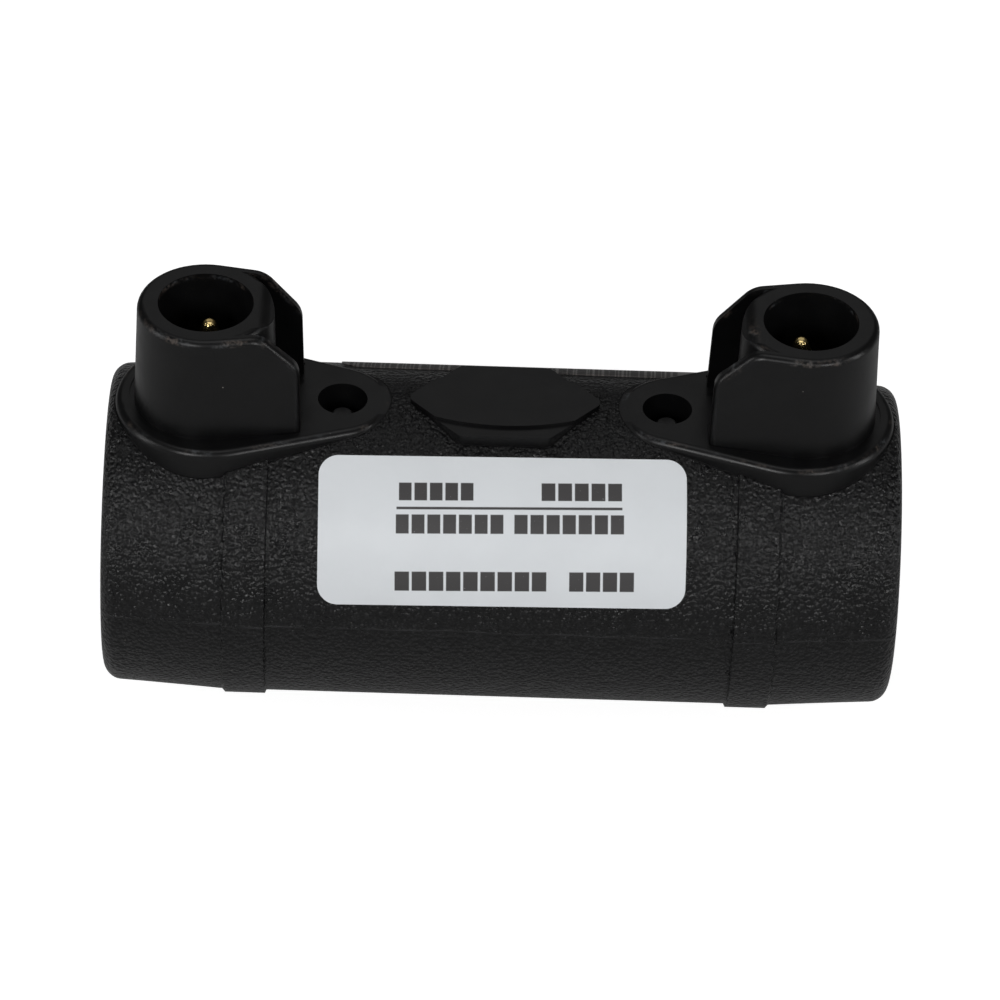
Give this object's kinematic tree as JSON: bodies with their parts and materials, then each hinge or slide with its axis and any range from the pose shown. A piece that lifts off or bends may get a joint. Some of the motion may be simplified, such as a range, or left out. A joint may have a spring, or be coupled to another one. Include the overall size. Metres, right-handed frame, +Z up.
{
  "type": "electrofusion coupler",
  "caption": "Round black polyethylene pipe coupler with shrouded terminals, a marking plate, indicator wells and white labels.",
  "frame": {"origin": "centre of the bore, midway between the two socket mouths, inside the stop ring", "axes": "+X along the bore towards the right-hand socket, +Z up through the terminals, +Y away from the side with the front label"},
  "size_m": [0.08, 0.0344, 0.0455],
  "materials": {
    "moulded_polyethylene": "spark-grained moulding, satin on the terminals and pads",
    "coated_wire": "smooth extruded coating",
    "terminal_brass": "turned",
    "indicator_polyethylene": "satin",
    "label_stock": "coated white sticker"
  },
  "bodies": {
    "root": {"coupler_body": "moulded_polyethylene", "heating_coil": "coated_wire", "terminal_pin_left": "terminal_brass", "terminal_pin_right": "terminal_brass", "indicator_pin_left": "indicator_polyethylene", "indicator_pin_right": "indicator_polyethylene", "front_label": "label_stock", "rear_label": "label_stock"}
  },
  "joints": []
}
